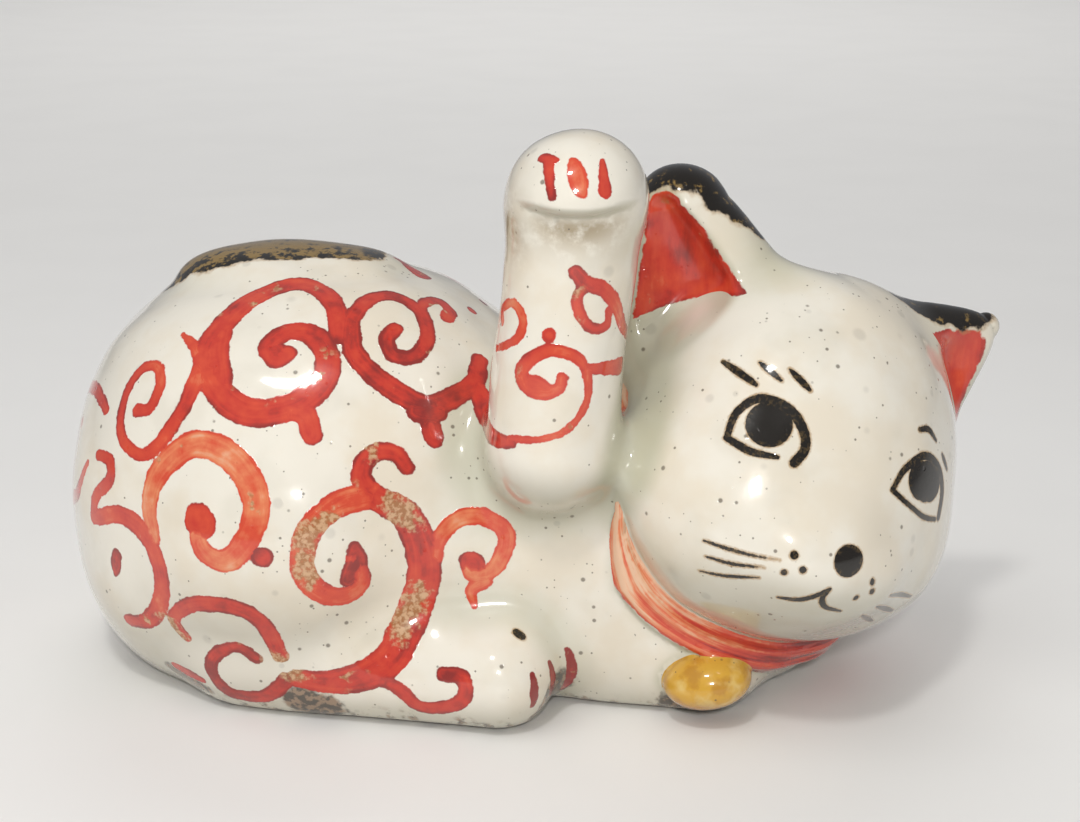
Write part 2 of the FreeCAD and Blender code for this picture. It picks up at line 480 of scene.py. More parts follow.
def split(vertices, faces, values):
    """Cuts a triangle mesh along a field's zero level; returns the negative and positive sides."""
    side = values < 0
    edges = np.sort(face_edges(faces).reshape(-1, 2), axis=1)
    edges = np.unique(edges[side[edges[:, 0]] != side[edges[:, 1]]], axis=0)
    t = values[edges[:, 0]] / (values[edges[:, 0]] - values[edges[:, 1]])
    t = np.clip(t, 0.02, 0.98)[:, None]
    new = vertices[edges[:, 0]] * (1 - t) + vertices[edges[:, 1]] * t
    number = {tuple(e): len(vertices) + i for i, e in enumerate(edges.tolist())}
    vertices = np.concatenate([vertices, new])
    below = side[faces].sum(1)
    sides = {True: [faces[below == 3]], False: [faces[below == 0]]}
    cut_faces = {True: [], False: []}
    for face in faces[(below == 1) | (below == 2)].tolist():
        lone = side[face].sum() == 1
        k = [bool(side[v]) for v in face].index(lone)
        a, b, c = face[k], face[(k + 1) % 3], face[(k + 2) % 3]
        ab = number[(min(a, b), max(a, b))]
        ac = number[(min(a, c), max(a, c))]
        cut_faces[lone].append((a, ab, ac))
        cut_faces[not lone] += [(ab, b, c), (ab, c, ac)]
    result = []
    for key in (True, False):
        if cut_faces[key]:
            sides[key].append(np.array(cut_faces[key]))
        result.append(compact(vertices, np.concatenate(sides[key])))
    return result


def rim(faces):
    """The open edges of a patch, each pointing the way its face goes round."""
    directed = face_edges(faces).reshape(-1, 2)
    low, high = directed.min(1), directed.max(1)
    key = low * (faces.max() + 1) + high
    _, first, count = np.unique(key, return_index=True, return_counts=True)
    return directed[first[count == 1]]


def backed(vertices, faces, inner):
    """Closes a patch with an inner copy of itself and a wall round its rim."""
    n = len(vertices)
    edges = rim(faces)
    a, b = edges[:, 0], edges[:, 1]
    wall = np.concatenate([np.stack([b, a, a + n], 1), np.stack([b, a + n, b + n], 1)])
    closed = np.concatenate([faces, faces[:, ::-1] + n, wall])
    return np.concatenate([vertices, inner]), closed


def plugged(vertices, faces, depth):
    """Closes a patch with a shallow cone of clay behind each of its rims."""
    edges = rim(faces)
    following = dict(edges.tolist())
    vertices = list(vertices)
    extra = []
    while following:
        start = next(iter(following))
        loop = []
        while start in following:
            loop.append((start, following.pop(start)))
            start = loop[-1][1]
        points = np.array([vertices[a] for a, _ in loop])
        middle = points.mean(0)
        normal = sum(np.cross(vertices[a] - middle, vertices[b] - middle) for a, b in loop)
        normal = normal / (np.linalg.norm(normal) + 1e-9)
        vertices.append(middle - normal * min(depth, 0.2 * np.ptp(points, axis=0).max()))
        extra += [(b, a, len(vertices) - 1) for a, b in loop]
    return np.array(vertices), np.concatenate([faces, np.array(extra)])


def refined(vertices, faces, marked):
    """Halves each marked edge and splits the triangles beside it, keeping the mesh closed."""
    ordered = np.sort(face_edges(faces), axis=2)
    key = ordered[..., 0] * len(vertices) + ordered[..., 1]
    unique, inverse = np.unique(key, return_inverse=True)
    inverse = inverse.reshape(-1, 3)
    ends = np.stack([unique // len(vertices), unique % len(vertices)], 1)
    chosen = marked(ends)
    middle = -np.ones(len(unique), int)
    middle[chosen] = len(vertices) + np.arange(chosen.sum())
    new = (vertices[ends[chosen, 0]] + vertices[ends[chosen, 1]]) / 2
    m = middle[inverse]
    count = (m >= 0).sum(1)
    done = [faces[count == 0]]
    for k in range(3):
        a, b, c = faces[:, k], faces[:, (k + 1) % 3], faces[:, (k + 2) % 3]
        ab, bc, ca = m[:, k], m[:, (k + 1) % 3], m[:, (k + 2) % 3]
        one = (count == 1) & (ab >= 0)
        done.append(np.stack([a, ab, c], 1)[one])
        done.append(np.stack([ab, b, c], 1)[one])
        two = (count == 2) & (ca < 0)
        done.append(np.stack([ab, b, bc], 1)[two])
        done.append(np.stack([a, ab, bc], 1)[two])
        done.append(np.stack([a, bc, c], 1)[two])
        if k == 0:
            three = count == 3
            for t in ((a, ab, ca), (ab, b, bc), (ca, bc, c), (ab, bc, ca)):
                done.append(np.stack(t, 1)[three])
    return np.concatenate([vertices, new]), np.concatenate(done), ends[chosen]


# ---------------- brushwork

FLANK_AXIS_HEIGHT = BODY[2] + 36
FLANK_RADIUS = 48.0
FLANK_CLEAR, REAR_CLEAR, ARM_CLEAR, FACE_CLEAR = 85.0, 20.0, 40.0, 70.0
RAY_ROUNDS = 70
RAY_CAUTION = 0.85


def smooth_line(points, spacing=0.5):
    """A curve through the points, as evenly spaced samples."""
    points = np.array(points, float)
    if len(points) == 1:
        return points
    padded = np.concatenate([[2 * points[0] - points[1]], points, [2 * points[-1] - points[-2]]])
    samples = []
    for a, b, c, d in zip(padded, padded[1:], padded[2:], padded[3:]):
        count = max(2, int(np.linalg.norm(c - b) / spacing))
        t = np.linspace(0, 1, count, endpoint=False)[:, None]
        bend = (2 * a - 5 * b + 4 * c - d) * t**2
        samples.append(0.5 * (2 * b + (c - a) * t + bend + (3 * b - a - 3 * c + d) * t**3))
    samples.append(points[-1:])
    return np.concatenate(samples)


def lifted(start, inward, field, reach=90.0):
    """Where rays that start outside meet the surface."""
    travelled = np.zeros(len(start))
    for _ in range(RAY_ROUNDS):
        travelled += np.clip(field(start + inward * travelled[:, None]) * RAY_CAUTION, -2, 12)
    travelled = np.minimum(travelled, reach)
    return start + inward * travelled[:, None]


def flank_surface(p):
    near = join(body_field(p), foot_field(p, False), FOOT_BLEND)
    return join(near, foot_field(p, True), FOOT_BLEND)


def on_flank(line, far=False):
    """Flank chart: x along the body, then millimetres up and over the back."""
    angle = line[:, 1] / FLANK_RADIUS
    out = columns(0, -np.cos(angle), np.sin(angle))
    if far:
        out[:, 1] *= -1
    axis = columns(line[:, 0], BODY_SEAM, FLANK_AXIS_HEIGHT)
    return lifted(axis + out * FLANK_CLEAR, -out, flank_surface)


def on_far_flank(line):
    """The same chart on the other side, shifted as a hand repeating the pattern would."""
    return on_flank(line + (2.0, -3.0), True)


def on_rear(line):
    """Rear chart: y across the rump and z up it, seen from behind."""
    start = columns(BODY[0] - REAR_CLEAR, line[:, 0], line[:, 1])
    return lifted(start, np.array([1.0, 0, 0]), flank_surface)


def arm_surface(p):
    return join(arm_field(p), flank_surface(p), ARM_BLEND)


def on_arm(line):
    """Front chart of the raised foreleg: x across and z up."""
    start = columns(line[:, 0], ELBOW[1] - ARM_CLEAR, line[:, 1])
    return lifted(start, np.array([0, 1.0, 0]), arm_surface)


def on_head(line):
    """Face chart: x across and z up the face, in the skull's own frame."""
    local = columns(line[:, 0], -FACE_CLEAR, line[:, 1])
    return lifted(SKULL + local @ SKULL_AXES.T, SKULL_AXES[:, 1], skull_field)


STROKE_MARGIN = 5


def stroke(chart, points, widths, tone):
    """One brush stroke: its line on the surface, its half width along the line, and its load."""
    surface = chart(smooth_line(points))
    start, middle, end = widths
    travelled = np.append(0, np.cumsum(length(np.diff(surface, axis=0))))
    count = 1 + int(travelled[-1] / (0.35 * min(start, middle, end)))
    along = np.linspace(0, travelled[-1], count)
    surface = np.stack([np.interp(along, travelled, surface[:, axis]) for axis in range(3)], 1)
    t = np.linspace(0, 1, count)
    half = start * (1 - t) * (1 - 2 * t) + middle * 4 * t * (1 - t) + end * t * (2 * t - 1)
    margin = half.max() + STROKE_MARGIN
    box = surface.min(0) - margin, surface.max(0) + margin
    return dict(line=surface, half=half, run=along, tone=tone, box=box)


def dot(x, z, radius):
    return [(x, z)], (radius, radius, radius)


# Half widths at the start, middle and end of the stroke, and the load of pigment: 1 is thick.
FLANK_STROKES = [
    ([(-38, 46), (-40, 55), (-47, 61.5), (-56, 58), (-62, 50), (-64.5, 42), (-61, 34), (-55, 30),
      (-47, 31), (-41, 35.5), (-40, 41), (-43, 46), (-48, 47), (-52, 44), (-50.5, 40.5), (-48, 42)],
     (1.9, 3.0, 1.9), 0.74),
    ([(-62, 50), (-63.5, 43), (-61, 36)], (2.2, 3.6, 2.4), 0.74),
    (*dot(-51, 42.5, 2.6), 0.8),
    ([(-55, 30), (-48, 30.5), (-44, 29.5), (-42.5, 25.5)], (2.0, 2.3, 2.1), 0.7),
    ([(-65, 41), (-69, 31), (-76, 23), (-81, 25), (-83, 31), (-82, 38), (-79, 43), (-75.5, 42.5),
      (-74, 38), (-76, 33), (-79, 33)], (2.0, 1.35, 1.4), 0.62),
    ([(-65, 41), (-68, 46), (-70.5, 49)], (1.5, 1.2, 0.6), 0.5),
    ([(-36, 50), (-33, 57), (-28, 60), (-22.5, 57), (-20.5, 50), (-22.5, 44), (-27, 43),
      (-28.5, 46.5), (-27, 49.5)], (1.9, 1.8, 1.7), 0.78),
    ([(-36, 50), (-35, 43), (-30.5, 38), (-25, 34.5), (-20, 33), (-15, 36), (-11, 41), (-10, 48)],
     (2.0, 2.4, 2.0), 0.8),
    ([(-22, 54), (-22, 60), (-19, 64.5), (-16.5, 62), (-17, 58.5)], (1.1, 1.5, 1.8), 0.8),
    ([(-22, 31.5), (-18, 32)], (2.4, 2.8, 2.2), 0.82),
    ([(-19.5, 29), (-18.5, 25.5)], (2.0, 2.3, 1.6), 0.82),
    (*dot(-12, 70, 1.3), 0.8),
    ([(-75, 4), (-76, 11), (-74, 18), (-69, 23), (-64, 24), (-58, 21), (-54, 16), (-53, 11),
      (-55, 6), (-59, 2), (-63.5, 3), (-65, 6.5), (-63, 9.5)], (1.8, 2.9, 1.7), 0.34),
    ([(-65.5, 10), (-63.5, 8)], (2.6, 3.4, 2.4), 0.72),
    (*dot(-52, 3, 2.2), 0.8),
    ([(-24, 19.5), (-26.5, 22.5), (-31, 22), (-33, 18), (-31, 14)], (1.6, 2.0, 2.4), 0.72),
    ([(-31, 14), (-25, 10), (-22, 4), (-21, -4), (-23, -12), (-27, -18), (-33, -21.5),
      (-40, -23.5), (-47, -23.5)], (2.5, 3.7, 2.1), 0.72),
    ([(-31, 14), (-38, 12), (-43, 7), (-44, 0), (-40.5, -4.8), (-36, -6), (-33, -3.5),
      (-34.5, 1.5)], (2.7, 2.5, 1.7), 0.52),
    ([(-34.2, 3.5), (-34.0, 0.5), (-35.5, -2.5)], (1.4, 2.4, 1.9), 0.85),
    ([(-19, -2), (-17.5, 4), (-13.5, 8), (-8.5, 8), (-4.5, 4.5), (-5, -1), (-8, -5.5),
      (-11.5, -5.5), (-12, -2)], (1.5, 1.9, 1.5), 0.4),
    ([(-12, -2), (-10.5, -4)], (1.9, 2.5, 1.9), 0.85),
    ([(-8.5, -7.5), (-11.5, -9.5), (-10.8, -12.5)], (1.5, 1.3, 0.7), 0.42),
    ([(-90, 5), (-83, 8), (-77, 4), (-74, -3), (-74.5, -11), (-78, -18.5), (-83, -22)],
     (1.6, 2.3, 1.6), 0.6),
    ([(-88, 24), (-85, 22), (-85, 17), (-89, 12), (-90, 5)], (1.2, 1.4, 1.3), 0.6),
    ([(-84.5, -4), (-85, -9)], (1.5, 1.7, 1.0), 0.8),
    ([(-70, -19.5), (-72, -15), (-68, -9.5), (-61, -7.5), (-55, -9), (-52, -13), (-50, -19)],
     (1.4, 2.0, 1.8), 0.72),
    ([(-55, -20), (-59, -18), (-64, -21.5), (-65, -26), (-61, -29.5), (-54, -28.5), (-49, -24)],
     (1.4, 1.7, 1.9), 0.85),
    ([(-74, -31), (-67.5, -29.5)], (1.2, 1.4, 0.9), 0.8),
    ([(-31, -21.5), (-26, -22.5), (-22, -25), (-17.5, -24.5), (-13, -22), (-13, -19), (-17, -19)],
     (1.3, 1.7, 1.6), 0.75),
    ([(-95, 58), (-91, 47), (-87, 36)], (1.3, 1.5, 1.2), 0.6),
    (*dot(-95, 41, 1.3), 0.6),
]
BACK_MARK = ([(-36, 77), (-29, 82), (-23, 77)], (1.0, 1.5, 2.0), 0.75)
REAR_STROKES = [
    ([(-6, 30), (-12, 38), (-11, 48), (-4, 55), (5, 56), (12, 50), (13, 42), (8, 36), (1, 36),
      (-1, 42), (3, 46)], (1.6, 2.3, 1.7), 0.7),
    ([(-6, 30), (2, 24), (12, 22), (20, 27), (22, 35), (17, 39), (13, 35)], (1.6, 2.0, 1.6), 0.6),
    ([(-12, 38), (-20, 42), (-24, 50)], (1.5, 1.4, 0.8), 0.55),
]
ARM_STROKES = [
    ([(9.1, 96.6), (11.2, 94.4), (14.5, 92.9), (16.8, 89.5), (18.0, 86), (19.6, 82)], (1.5, 1.5, 1.2), 0.62),
    ([(11.3, 94.2), (9.4, 91.3), (10.4, 87.8), (13, 85.4), (15.4, 86), (15.6, 88.4)], (1.0, 1.2, 0.9), 0.6),
    ([(-4.6, 85), (-4.8, 87.4), (-2.4, 89.4), (-0.6, 86.5), (-1.8, 83), (-5.6, 79.5)],
     (0.8, 1.0, 0.8), 0.42),
    (*dot(4.2, 84.4, 1.5), 0.7),
    ([(11.4, 77.6), (9.1, 80.4), (4.8, 81.6), (0.8, 79.6), (-1.0, 76.4), (0.2, 74.0), (3.4, 73.4),
      (6.0, 74.4), (6.6, 76.4)], (1.0, 1.5, 1.2), 0.6),
    ([(0.5, 75), (3.8, 74.2)], (1.8, 2.0, 1.4), 0.72),
    ([(11.6, 77.8), (14.5, 77.3), (18.2, 76.4)], (0.9, 1.5, 1.9), 0.72),
    ([(11.4, 77.6), (11.7, 73), (10.2, 69), (7.2, 65.9), (3.2, 64.4), (-2.2, 63.6), (-6, 62)],
     (1.1, 0.75, 1.0), 0.5),
    ([(-11, 69.5), (-10, 65.5), (-7, 62.5), (-3, 62.7)], (1.3, 2.5, 1.1), 0.72),
    ([(2.8, 117.6), (5.3, 117.4)], (0.9, 1.2, 0.8), 0.8),
    ([(4.2, 117.2), (4.4, 114), (4.7, 111.3)], (1.3, 1.0, 0.9), 0.8),
    ([(8.6, 117.4), (9.3, 114.8), (10.2, 112)], (0.9, 1.9, 1.0), 0.5),
    ([(13.9, 117.4), (14.2, 114.5), (14.4, 112.3)], (0.6, 1.0, 1.4), 0.6),
]
FACE_STROKES = [
    ([(-32, 1.4), (-30.5, 6.5), (-27.4, 10.3), (-23.4, 10.2), (-20.9, 7.3), (-20.5, 4.2),
      (-22.2, 1.2)], (0.65, 0.95, 1.0)),
    ([(-32, 1.4), (-29, 0.6), (-25.0, 1.2)], (0.65, 0.75, 0.45)),
    dot(-26.3, 6.4, 4.5),
    ([(-1.7, 0.9), (1.0, 5), (6.5, 8.2), (12, 6.4), (14.8, 2.0), (15.3, -3.2)], (0.6, 0.9, 0.8)),
    ([(-1.7, 0.9), (3, -1.2), (9, -3.2), (14.0, -3.6)], (0.6, 0.6, 0.45)),
    ([(6.2, 3.6), (9.6, 3.4)], (3.9, 4.1, 3.9)),
    ([(-31.2, 14.2), (-27.8, 12.4)], (0.4, 0.75, 0.45)),
    ([(-27.0, 16.4), (-24.3, 14.6)], (0.4, 0.7, 0.4)),
    ([(-23.0, 17.0), (-20.0, 14.6)], (0.4, 0.75, 0.45)),
    ([(4.5, 12.9), (7.5, 13.2), (10.5, 11.4)], (0.45, 0.65, 0.4)),
    ([(13.5, 8.8), (16.2, 6.0)], (0.45, 0.65, 0.4)),
    dot(-11.7, -13.0, 3.2),
    dot(-21.6, -14.7, 0.85),
    dot(-19.6, -16.9, 0.7),
    dot(-21.9, -18.5, 0.65),
    ([(-4.5, -16.0), (-3.9, -16.8)], (0.6, 0.7, 0.5)),
    ([(-3.2, -18.2), (-2.7, -18.6)], (0.6, 0.7, 0.5)),
    dot(-6.3, -20.2, 0.7),
    ([(-32.6, -18.3), (-28.2, -17.9), (-23.2, -16.5)], (0.25, 0.5, 0.25)),
    ([(-31.2, -21.2), (-27.8, -20.6), (-24.4, -18.9)], (0.25, 0.5, 0.25)),
    ([(-30.2, -24.6), (-27.2, -23.6), (-24.0, -21.3)], (0.25, 0.45, 0.25)),
    ([(4.2, -19.2), (10, -19.6), (16.5, -20.6)], (0.3, 0.55, 0.3)),
    ([(2.2, -22.0), (7.4, -23.0), (13.0, -24.2)], (0.3, 0.6, 0.3)),
    ([(0.4, -24.6), (4.6, -25.9), (8.8, -27.0)], (0.3, 0.55, 0.3)),
    ([(-19.5, -24.2), (-16.4, -22.9), (-13.5, -19.3)], (0.3, 0.6, 0.4)),
    ([(-13.5, -19.3), (-13.5, -21.6), (-11.4, -23.4), (-7.2, -23.9)], (0.4, 0.6, 0.35)),
]


def red_strokes():
    made = [stroke(on_flank, *s) for s in FLANK_STROKES + [BACK_MARK]]
    made += [stroke(on_far_flank, *s) for s in FLANK_STROKES]
    made += [stroke(on_rear, *s) for s in REAR_STROKES]
    made += [stroke(on_arm, *s) for s in ARM_STROKES]
    return made


def dark_strokes():
    made = [stroke(on_head, points, widths, 1.0) for points, widths in FACE_STROKES]
    made.append(stroke(on_flank, [(-2.2, -15.3), (-1.2, -15.8)], (0.9, 1.0, 0.9), 1.0))
    return made


def on_clay(line):
    """Points given near the surface, moved onto it."""
    return settle(line, clay, 3)


def as_given(line):
    return line


# Node, line, half widths and how much gilding is left.
BLACK_PATCHES = [
    ("right_ear", [(3.5, 15.0, 45), (13.6, 15.5, 48.5), (24.5, 16, 39.5)], (6.5, 11.2, 9.6), 0.0),
    ("left_ear", [(4.0, 8.5, 33.0), (11.5, 8, 32.0), (20.5, 9, 28.6)], (8.4, 8.0, 4.6), 0.0),
    ("tail", [(1.5, 12, 5), (14, 12.5, 9), (28, 12.5, 10), (37, 12, 9)], (8.0, 11.5, 8.5), 1.0),
]
WORN_PLACES = [
    ([(52, 6, 5), (60, 5, 3)], (3.0, 4.5, 3.0)),
    ([(98, 6, 7), (102, 9, 9), (104, 12, 8)], (2.0, 3.0, 2.5)),
    ([(128, 7, 2), (146, 9, 2)], (2.0, 3.2, 2.0)),
    ([(20, 12, 3), (30, 8, 2)], (1.5, 2.6, 1.5)),
    ([(60, 102, 3), (78, 104, 2)], (2.0, 3.4, 2.0)),
    ([(4, 40, 4), (2, 60, 3)], (1.5, 2.6, 1.5)),
]
# Where the red has rubbed down to its old gilding, on the flank chart.
GILT_WEAR = [
    ([(-38, 10), (-43.5, 6), (-43, -2)], (2.0, 3.0, 2.0)),
    ([(-27, 12), (-23, 8)], (2.5, 3.4, 2.5)),
    ([(-22, -8), (-26, -16)], (2.0, 3.0, 2.0)),
    ([(-47, -22), (-52, -20)], (2.5, 3.2, 2.5)),
    ([(-74, -16), (-71, -20)], (2.0, 2.6, 2.0)),
    ([(-34, 30), (-31, 22)], (1.5, 2.0, 1.5)),
]


def patch_strokes():
    """Black patches on the ears and round the tail."""
    return [
        stroke(as_given, [corner(node, *at) for at in line], widths, gilding)
        for node, line, widths, gilding in BLACK_PATCHES
    ]


def wear_strokes():
    """Soot and bare places along the foot of the figure and at its toes."""
    return [stroke(on_clay, [BODY + at for at in line], widths, 1.0) for line, widths in WORN_PLACES]


def gilt_strokes():
    made = [stroke(on_flank, *wear, 1.0) for wear in GILT_WEAR]
    return made + [stroke(on_far_flank, *wear, 1.0) for wear in GILT_WEAR[:3]]


def toe_strokes():
    """Short claw marks on the toes of the two hind feet."""
    made = []
    for side in (1, -1):
        for turned in (-0.35, 0.25, 0.85):
            middle = TOES if side == 1 else across_body(TOES)
            out = np.array([np.cos(turned), -side * np.sin(turned), 0])
            ends = [middle + out * 9.5 + (0, 0, 4.5), middle + out * 10.5 + (0, 0, -1.0)]
            made.append(stroke(on_clay, ends, (0.6, 1.2, 0.8), 0.95))
    return made


RED = red_strokes() + toe_strokes()
DARK = dark_strokes()
BLACK = patch_strokes()
WEAR = wear_strokes()
GILT = gilt_strokes()
NO_INK = -6.0
RUN_APART = 61


def laid_on(p, strokes):
    """How far each point lies inside the strokes, and the load and run of the stroke it is in."""
    ink = np.full(len(p), NO_INK)
    tone = np.full(len(p), 0.5)
    run = np.zeros(len(p))
    for number, s in enumerate(strokes):
        low, high = s["box"]
        close = np.flatnonzero(((p > low) & (p < high)).all(1))
        if not len(close):
            continue
        gap = np.linalg.norm(p[close, None] - s["line"][None], axis=2) - s["half"][None]
        best = gap.argmin(1)
        depth = -gap[np.arange(len(close)), best]
        better = depth > ink[close]
        ink[close[better]] = depth[better]
        tone[close[better]] = s["tone"]
        run[close[better]] = s["run"][best[better]] + number * RUN_APART
    return np.maximum(ink, NO_INK), tone, run


# ---------------- pieces

WALL = 4.5
COLLAR_BACKING = 1.5
PLUG_DEPTH = 4.0
GRID_MARGIN = 6
FINEST_EDGE = 0.16
VENT_RADIUS = 5.0
VENT = np.array([12.0, BODY_SEAM])
HEAD_SEAM = 3.0
SLOTS = {s["node"]: s["material_slot"] for s in frame["record"]["subparts"]}
INK_NAMES = ["red_ink", "red_tone", "red_run", "red_lane", "dark_ink", "black_ink", "black_gold"]
# Reaches, in millimetres, of the painted shade in creases and hollows.
CREVICES = (2.5, 7.0)


def carved(vertices, faces, part):
    """Cuts the surface that belongs to one part away from the rest."""
    m = masses(vertices)
    m["collar"] = collar_field(vertices, m["body"], m["head"])
    mine = m.pop(part)
    rest = np.min(list(m.values()), axis=0)
    return split(vertices, faces, mine - rest)


def whole_surface():
    low = np.array(cad_box[0]) * MM - GRID_MARGIN
    high = np.array(cad_box[1]) * MM + GRID_MARGIN
    values = sampled(clay, low, high, STEP)
    vertices, quads = surface_net(values, low, STEP)
    vertices = settle(vertices, clay)
    return vertices, triangles(vertices, quads)


CUT_ORDER = ["bell", "collar", "right_ear", "left_ear", "raised_right_foreleg", "right_hind_foot"]
CUT_ORDER += ["left_hind_foot", "resting_left_foreleg", "tail", "head"]


def patches():
    """The outer surface of each piece, cut along the joints between the pieces of clay."""
    vertices, faces = whole_surface()
    found = {}
    for part in CUT_ORDER:
        found[part], (vertices, faces) = carved(vertices, faces, part)
    head_v, head_f = found.pop("head")
    across = (head_v - SKULL) @ SKULL_AXES[:, 1] - HEAD_SEAM
    found["head_face_half"], found["head_back_half"] = split(head_v, head_f, across)
    found["base_slab"], (vertices, faces) = split(vertices, faces, vertices[:, 2] - SLAB_TOP)
    vent_v, vent_f = found["base_slab"]
    from_vent = VENT_RADIUS - length(vent_v[:, :2] - VENT)
    found["base_slab"] = split(vent_v, vent_f, from_vent)[0]
    halves = split(vertices, faces, vertices[:, 1] - BODY_SEAM)
    found["body_right_half"], found["body_left_half"] = halves
    return found


def unit_slope(p):
    g = slope(p, clay)
    return g / (length(g)[:, None] + 1e-9)


def inner_face(node, vertices, normals):
    """The hidden side of a hollow piece, kept on its own side of the joints."""
    if node == "base_slab":
        return columns(vertices[:, 0], vertices[:, 1], SLAB_TOP)
    if node == "collar":
        return vertices - normals * COLLAR_BACKING
    inner = vertices - normals * WALL
    if node.startswith("head"):
        local = (inner - SKULL) @ SKULL_AXES
        keep = np.minimum if node == "head_face_half" else np.maximum
        local[:, 1] = keep(local[:, 1], HEAD_SEAM)
        return SKULL + local @ SKULL_AXES.T
    keep = np.minimum if node == "body_right_half" else np.maximum
    inner[:, 1] = keep(inner[:, 1], BODY_SEAM)
    inner[:, 2] = np.maximum(inner[:, 2], SLAB_TOP)
    return inner


HOLLOW = ["body_right_half", "body_left_half", "head_face_half", "head_back_half", "base_slab", "collar"]


def closed_piece(node, vertices, faces):
    """A closed solid from a patch, and which of its vertices lie on the patch."""
    if node in HOLLOW:
        inner = inner_face(node, vertices, unit_slope(vertices))
        solid_v, solid_f = backed(vertices, faces, inner)
    else:
        solid_v, solid_f = plugged(vertices, faces, PLUG_DEPTH)
    return solid_v, solid_f, np.arange(len(solid_v)) < len(vertices)


# The right ear's red stops along a sloping line through this point.
EAR_FOOT = corner("right_ear", 3.0, 0, 18.3)


def inks(node, p):
    """Depths inside the brushwork: red with its load, run and lane, dark lines, and black patches."""
    red, tone, run = laid_on(p, RED)
    dark, _, _ = laid_on(p, DARK)
    black, gold, _ = laid_on(p, BLACK)
    lane = red.copy()
    if node in EARS:
        foot = (p - EAR_FOOT) @ (-0.30, 0, 0.954)
        above_foot = foot if node == "right_ear" else 9.0
        scoop = np.maximum(np.minimum(0.7 - recess_field(p, node), above_foot), NO_INK)
        # Deeper red further into the scoop: painted shade in the ear's recess.
        depth = np.clip(-recess_field(p - SCOOPS[node]["front"] * 2.5, node) / 4, 0, 1)
        tone = np.where(scoop > red, 0.64 + 0.42 * depth, tone)
        run = np.where(scoop > red, p[:, 2] * 2, run)
        lane = np.where(scoop > red, p[:, 0] * 0.6, lane)
        red = np.maximum(red, scoop)
    if node == "collar":
        jaw = skull_field(p)
        # The band is paler on its pressed strands, a painted highlight, and deeper red in the grooves and
        # lower down the band, painted shade.
        low = np.clip((SKULL[2] - 24 - p[:, 2]) / 16, 0, 1)
        tone = 0.27 - 0.36 * collar_grooves(p, jaw) + 0.66 * low
        buried = -collar_field(p, body_field(p), jaw) - 0.5
        across = collar_across(p, jaw)
        red = 1.9 - 1.5 * np.abs(across) ** 3 - 5 * np.maximum(buried, 0)
        run = round_neck(p)
        lane = across * COLLAR_WIDE
    if node == "bell":
        red[:] = NO_INK
    return red, tone, run, lane, dark, black, gold


def painted_paw_shade(node, p):
    """Painted brown shade below the pad of the raised paw and down the arm's outer side."""
    if node != "raised_right_foreleg":
        return np.zeros(len(p))
    pad, amount = under_pad(p)
    below = amount * np.exp(-(((pad + 1.6) / np.where(pad < -1.6, 4.5, 1.4)) ** 2))
    side = np.clip((KNUCKLES[0] - 8 - p[:, 0]) / 5, 0, 1) * np.exp(-(((pad + 5) / 7) ** 2))
    return np.maximum(below, 0.8 * side)


def sharpened(node, vertices, faces, outside):
    """Makes the mesh finer along the edges of the brushwork."""
    for fine in (False, True, True, True):
        red, _, _, _, dark, black, _ = inks(node, vertices)
        depths = [dark] if fine else [red, dark, black]

        def marked(ends):
            long = length(vertices[ends[:, 0]] - vertices[ends[:, 1]])
            on = outside[ends].all(1)
            near = np.zeros(len(ends), bool)
            for depth in depths:
                a, b = depth[ends[:, 0]], depth[ends[:, 1]]
                near |= (np.minimum(np.abs(a), np.abs(b)) < 0.8 * long) | ((a < 0) != (b < 0))
            return on & near & (long > FINEST_EDGE)

        vertices, faces, parents = refined(vertices, faces, marked)
        fresh = len(vertices) - len(parents)
        vertices[fresh:] = settle(vertices[fresh:], clay, 1)
        outside = np.concatenate([outside, np.ones(len(parents), bool)])
    return vertices, faces, outside


def painted_values(node, vertices, normals, outside):
    """What the glazes need to know at each vertex."""
    values = dict(zip(INK_NAMES, inks(node, vertices)))
    values["wear"], values["gilt"] = laid_on(vertices, WEAR)[0], laid_on(vertices, GILT)[0]
    values["dry_brush"] = np.full(len(vertices), float(node == "collar"))
    # Painted shade on surfaces that face down.
    values["under"] = np.clip((0.1 - normals[:, 2]) / 0.8, 0, 1)
    # Painted brown shade below the raised paw's pad and down the arm's outer side.
    values["paw_shade"] = painted_paw_shade(node, vertices)
    values["outside"] = outside.astype(float)
    # Painted shade in creases and hollows, where the glaze also pools: how closed in each outside point is.
    values["crevice"] = np.zeros(len(vertices))
    for reach in CREVICES:
        gap = clay(vertices + normals * reach) / reach
        values["crevice"] += outside * np.clip(1 - gap, 0, 1) / len(CREVICES)
    return values


def corner_normals(vertices, faces, normals, outside):
    """The clay's own slope on the outside, and the flat of the triangle elsewhere."""
    a, b, c = (vertices[faces[:, i]] for i in range(3))
    flat = np.cross(b - a, c - a)
    flat = flat / (length(flat)[:, None] + 1e-12)
    outer = outside[faces].all(1) & ((normals[faces].mean(1) * flat).sum(1) > 0.2)
    flat = np.repeat(flat, 3, axis=0)
    return np.where(np.repeat(outer, 3)[:, None], normals[faces.reshape(-1)], flat)


def placed(name, data):
    """A new object in the scene."""
    thing = bpy.data.objects.new(name, data)
    bpy.context.scene.collection.objects.link(thing)
    return thing


def make_piece(node, patch, material):
    vertices, faces, outside = closed_piece(node, *patch)
    vertices, faces, outside = sharpened(node, vertices, faces, outside)
    normals = unit_slope(vertices)
    mesh = bpy.data.meshes.new("cat_" + node)
    mesh.from_pydata((vertices / MM).tolist(), [], faces.tolist())
    mesh.update()
    for name, values in painted_values(node, vertices, normals, outside).items():
        attribute = mesh.attributes.new(name, "FLOAT", "POINT")
        attribute.data.foreach_set("value", values.astype(np.float32))
    mesh.shade_smooth()
    mesh.normals_split_custom_set(corner_normals(vertices, faces, normals, outside).tolist())
    mesh.materials.append(material)
    piece = placed("cat_" + node, mesh)
    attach(piece, "root")
    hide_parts(node)


# ---------------- glazes


